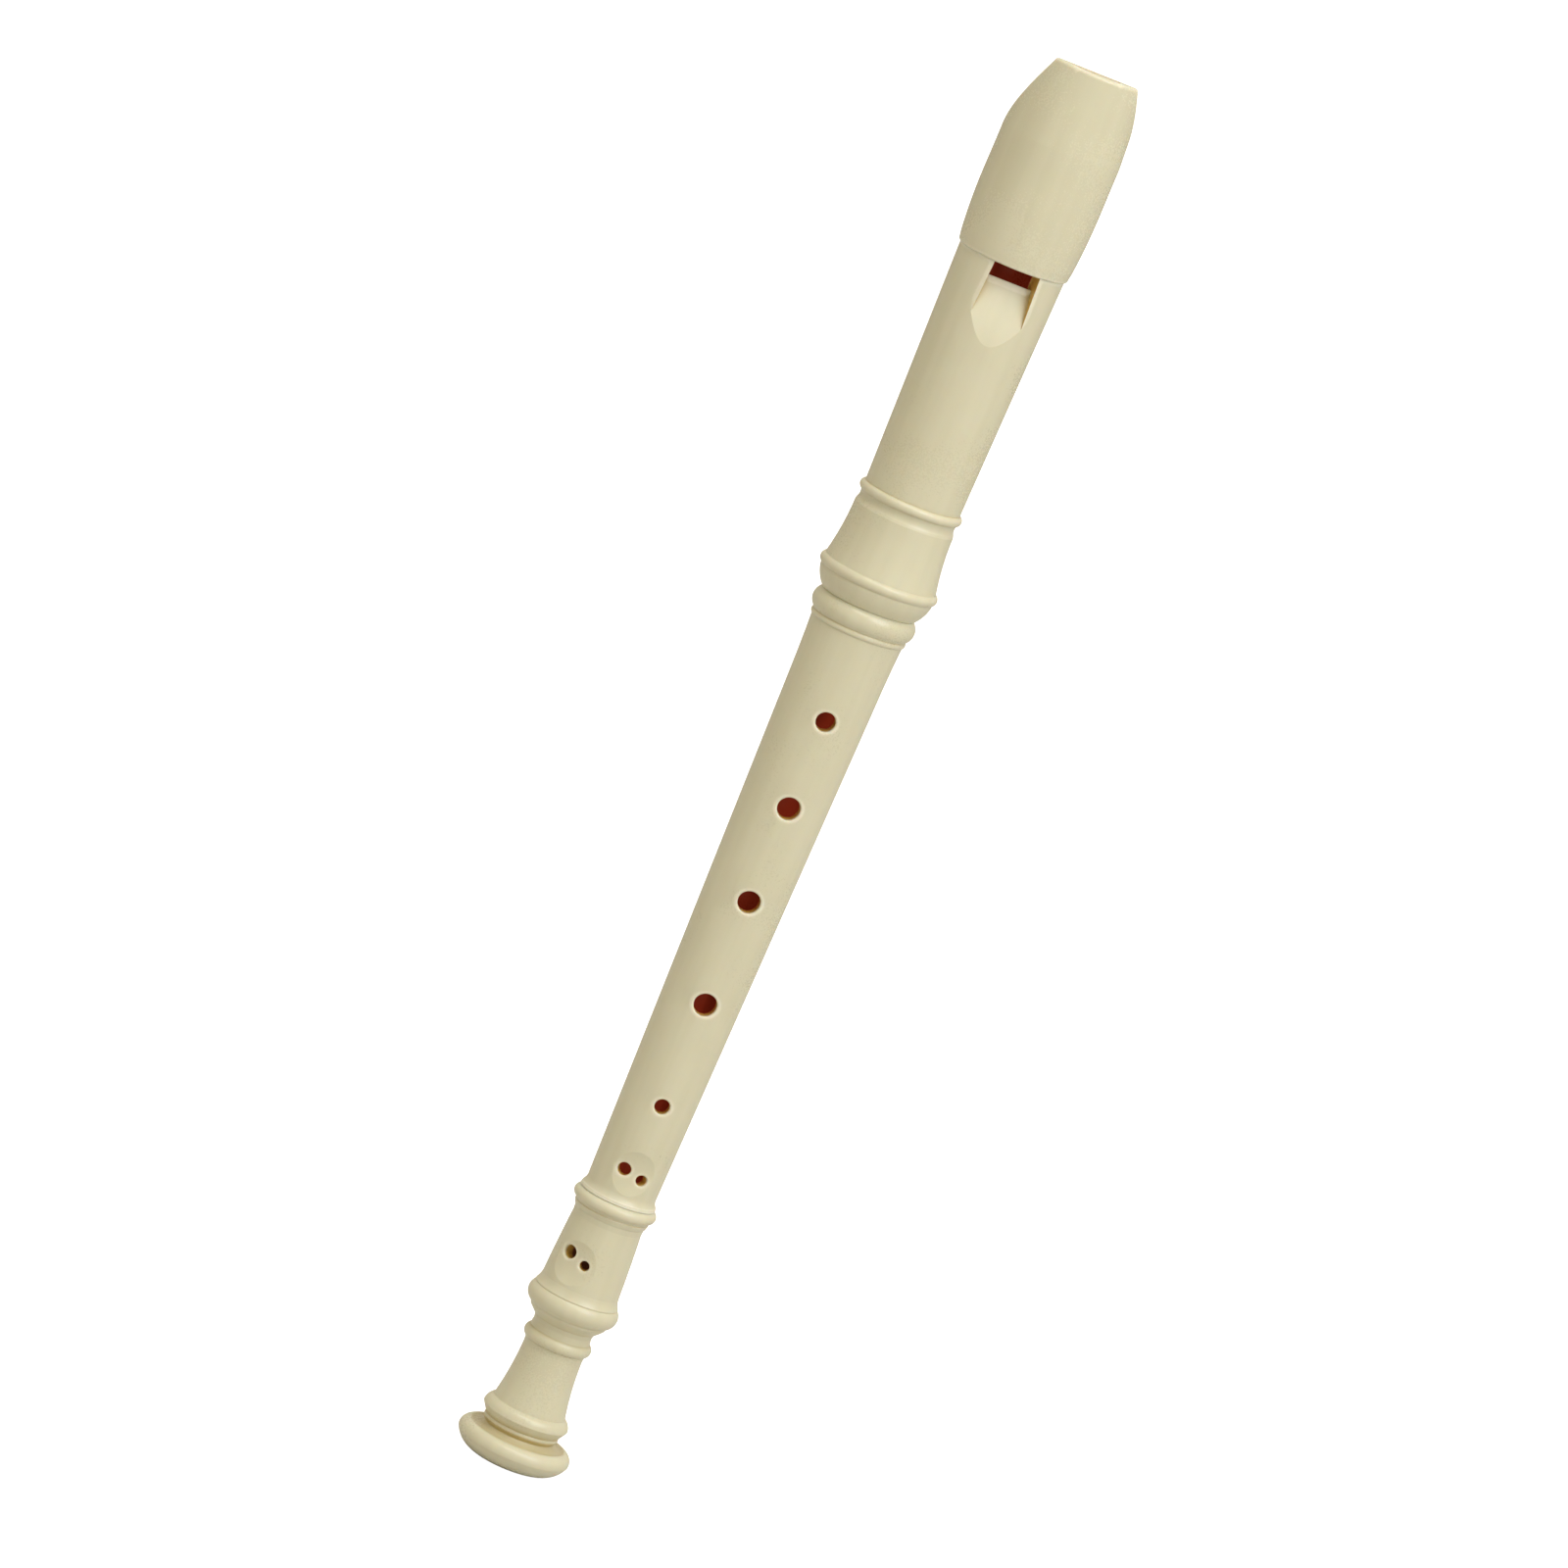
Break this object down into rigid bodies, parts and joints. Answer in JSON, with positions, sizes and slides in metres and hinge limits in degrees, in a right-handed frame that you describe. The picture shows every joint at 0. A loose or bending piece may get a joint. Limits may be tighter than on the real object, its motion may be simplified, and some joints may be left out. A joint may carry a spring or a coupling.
{
  "type": "soprano recorder",
  "caption": "Three-joint soprano recorder: beaked mouthpiece with window and ramp, tapering tube with finger and thumb holes, and a turned foot that flares to a beaded bell.",
  "frame": {"origin": "centre of the bell's flat end face, on the bore axis", "axes": "+Z along the bore from the bell to the mouthpiece, -Y out of the window and the finger holes, +X to the right as seen from the front"},
  "size_m": [0.0272, 0.0272, 0.331],
  "materials": {
    "ivory_abs": "semi-gloss moulded ivory ABS",
    "block_abs": "satin moulded ivory ABS"
  },
  "bodies": {
    "middle": {"middle_joint": "ivory_abs"},
    "head": {"head_tube": "ivory_abs", "beak_cap": "ivory_abs", "fipple_block": "block_abs"},
    "foot": {"foot_joint": "ivory_abs"}
  },
  "joints": [
    {"name": "head_pull", "type": "slide", "parent": "middle", "child": "head", "axis": [0, 0, 1], "range_m": [0, 0.03]},
    {"name": "foot_twist", "type": "hinge", "parent": "middle", "child": "foot", "pos_m": [0, 0, 0.06375], "axis": [0, 0, 1], "continuous": true}
  ]
}
